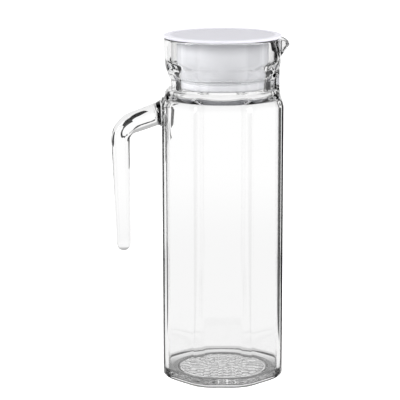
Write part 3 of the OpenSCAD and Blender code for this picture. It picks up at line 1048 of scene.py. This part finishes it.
def studio_world(finish):
    """White behind everything, with dark cards that only the glass and its reflections show."""
    world = bpy.data.worlds.new("studio")
    tree = empty_tree(world)
    way = tree.nodes.new("ShaderNodeTexCoord").outputs["Generated"]
    up = new_node("ShaderNodeSeparateXYZ", {0: way}).outputs["Z"]
    haze = ramp_between(up, *HAZE_RAMP)
    ceiling = ramp_between(up, *CEILING_EDGE, haze, 1.0)
    cards = maths("MAXIMUM", side_cards(way, WORLD_CARDS), ceiling)
    seen = less(1.0, times(cards, 1 - finish.dark))
    rays = tree.nodes.new("ShaderNodeLightPath").outputs
    level = between(seen_by_glass(rays), finish.fill, seen)
    shown = between(rays["Is Camera Ray"], level, 1.0)
    background = new_node("ShaderNodeBackground", {"Color": WHITE, "Strength": shown})
    new_node("ShaderNodeOutputWorld", {"Surface": background.outputs[0]})
    return world


# Operators

def dress(piece, material):
    piece.data.materials.clear()
    piece.data.materials.append(material)


class PITCHER_OT_glass(bpy.types.Operator):
    """Make the glass body with its fused handle"""

    bl_idname = "pitcher.glass"
    bl_label = "Glass body and handle"

    def execute(self, context):
        g, h = context.scene.pitcher_glass, context.scene.pitcher_handle
        body = mesh_object("pitcher_glass", *body_mesh(g))
        hook = mesh_object("hook", *handle_mesh(h, g))
        fuse(body, hook)
        dress(body, glass_material(context.scene.pitcher_finish, g.ripple))
        body.visible_shadow = False
        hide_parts("glass_body", "handle")
        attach(body, "pitcher")
        return {"FINISHED"}


class PITCHER_OT_cap(bpy.types.Operator):
    """Make the frosted cap of the lid"""

    bl_idname = "pitcher.cap"
    bl_label = "Lid cap"

    def execute(self, context):
        lid, finish = context.scene.pitcher_lid, context.scene.pitcher_finish
        cap = turned("frosted_cap", cap_profile(lid))
        # border lightens the colour of the cap's flat border: a painted highlight round the cap
        dress(cap, frosted_material("frosted_cap_plastic", finish.cap, rough=0.38, scale=1400,
                                    depth=0.00002, translucent=0.2, border=1.25,
                                    border_start=lid.cap_radius - lid.cap_border))
        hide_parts("lid_cap")
        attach(cap, "lid")
        return {"FINISHED"}


class PITCHER_OT_plug(bpy.types.Operator):
    """Make the milky plug under the cap"""

    bl_idname = "pitcher.plug"
    bl_label = "Lid plug"

    def execute(self, context):
        lid, finish = context.scene.pitcher_lid, context.scene.pitcher_finish
        plug = turned("milky_plug", plug_profile(lid))
        dress(plug, frosted_material("milky_plug_plastic", finish.plug, rough=0.5, scale=1100,
                                     depth=0.00002, translucent=0.3))
        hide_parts("lid_plug")
        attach(plug, "lid")
        return {"FINISHED"}


class PITCHER_OT_seals(bpy.types.Operator):
    """Make the two sealing rings of the plug"""

    bl_idname = "pitcher.seals"
    bl_label = "Sealing rings"

    def execute(self, context):
        lid, finish = context.scene.pitcher_lid, context.scene.pitcher_finish
        rubber = frosted_material("seal_rubber", finish.seal, rough=0.6, scale=2000, depth=0.00001,
                                  translucent=0.1)
        for node, low, high in (("upper_seal_ring", UPPER_RING_LOW, UPPER_RING_HIGH),
                                ("lower_seal_ring", LOWER_RING_LOW, LOWER_RING_HIGH)):
            ring = turned(node + "_soft", seal_profile(lid, low.z, high.z, high.x))
            dress(ring, rubber)
            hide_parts(node)
            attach(ring, "lid")
        return {"FINISHED"}


# Half the width of the floor, and how high the lamps aim as a share of the glass's height
FLOOR_HALF = 12.0
LAMP_AIM = 0.6

# Lamps: name, place, width and height, power, and whether reflections show it
LAMPS = (
    ("left_box", (-1.3, -0.5, 0.7), (0.45, 1.2), 14, True),
    ("right_box", (1.2, -0.6, 0.7), (1.1, 1.2), 16, True),
    ("top_box", (0, 0.1, 1.7), (1.4, 1.4), 10, False),
)
SENSOR_WIDTH = 36
CLIP_START = 0.01


def area_lamp(name, place, size, energy, shown):
    data = bpy.data.lights.new(name, "AREA")
    data.shape = "RECTANGLE"
    data.size, data.size_y = size
    data.energy = energy
    aim = Vector((0, 0, GLASS_HIGH.z * LAMP_AIM)) - Vector(place)
    lamp = bpy.data.objects.new(name, data)
    lamp.location = place
    lamp.rotation_euler = aim.to_track_quat("-Z", "Y").to_euler()
    lamp.visible_glossy = shown
    lamp.visible_transmission = False
    bpy.context.scene.collection.objects.link(lamp)


class PITCHER_OT_stage(bpy.types.Operator):
    """Make the floor, the flags, the lamps, the world and the camera"""

    bl_idname = "pitcher.stage"
    bl_label = "Studio"

    def execute(self, context):
        scene = context.scene
        s, finish = scene.pitcher_stage, scene.pitcher_finish
        corners = ((-1, -1), (1, -1), (1, 1), (-1, 1))
        floor = mesh_object("floor", [(x * FLOOR_HALF, y * FLOOR_HALF, 0) for x, y in corners],
                            [(0, 1, 2, 3)])
        dress(floor, floor_material(finish))
        for index, (plane, outline) in enumerate(FLAGS):
            points = [(x / MM_PER_METRE, plane / MM_PER_METRE, z / MM_PER_METRE)
                      for x, z in outline]
            flag = mesh_object("flag_%d" % index, points, [tuple(range(len(points)))])
            dress(flag, black_material())
            flag.visible_camera = flag.visible_diffuse = flag.visible_shadow = False
        for lamp in LAMPS:
            area_lamp(*lamp)
        scene.world = studio_world(finish)
        camera = bpy.data.cameras.new("camera")
        camera.sensor_width = SENSOR_WIDTH
        camera.lens = s.focal / s.picture * camera.sensor_width
        camera.shift_x = -s.axis_offset / s.picture
        camera.clip_start = CLIP_START
        seat = bpy.data.objects.new("camera", camera)
        seat.location = (0, -s.distance, s.camera_height)
        seat.rotation_euler = (pi / 2 - s.tilt, 0, 0)
        scene.collection.objects.link(seat)
        scene.camera = seat
        scene.view_settings.view_transform = "Standard"
        return {"FINISHED"}


class PITCHER_PT_panel(bpy.types.Panel):
    """Lists the pieces of the pitcher and the sizes that a user would change"""

    bl_idname = "PITCHER_PT_panel"
    bl_label = "Glass pitcher"
    bl_space_type = "VIEW_3D"
    bl_region_type = "UI"
    bl_category = "Pitcher"

    def draw(self, context):
        layout = self.layout
        for operator in OPERATORS:
            layout.operator(operator.bl_idname)
        for label, group in GROUPS.items():
            layout.label(text=label.replace("_", " ").capitalize())
            for name in group.__annotations__:
                layout.prop(getattr(context.scene, label), name)


OPERATORS = (PITCHER_OT_stage, PITCHER_OT_glass, PITCHER_OT_cap, PITCHER_OT_plug, PITCHER_OT_seals)
GROUPS = {
    "pitcher_glass": PitcherGlassSizes,
    "pitcher_handle": PitcherHandleSizes,
    "pitcher_lid": PitcherLidSizes,
    "pitcher_finish": PitcherFinishes,
    "pitcher_stage": PitcherStageSizes,
}


def register():
    for group in GROUPS.values():
        bpy.utils.register_class(group)
    for name, group in GROUPS.items():
        setattr(bpy.types.Scene, name, PointerProperty(type=group))
    for operator in OPERATORS:
        bpy.utils.register_class(operator)
    bpy.utils.register_class(PITCHER_PT_panel)


def unregister():
    bpy.utils.unregister_class(PITCHER_PT_panel)
    for operator in reversed(OPERATORS):
        bpy.utils.unregister_class(operator)
    for name in GROUPS:
        delattr(bpy.types.Scene, name)
    for group in reversed(list(GROUPS.values())):
        bpy.utils.unregister_class(group)


def main():
    register()
    bpy.ops.pitcher.stage()
    bpy.ops.pitcher.glass()
    bpy.ops.pitcher.cap()
    bpy.ops.pitcher.plug()
    bpy.ops.pitcher.seals()


if __name__ == "__main__":
    main()
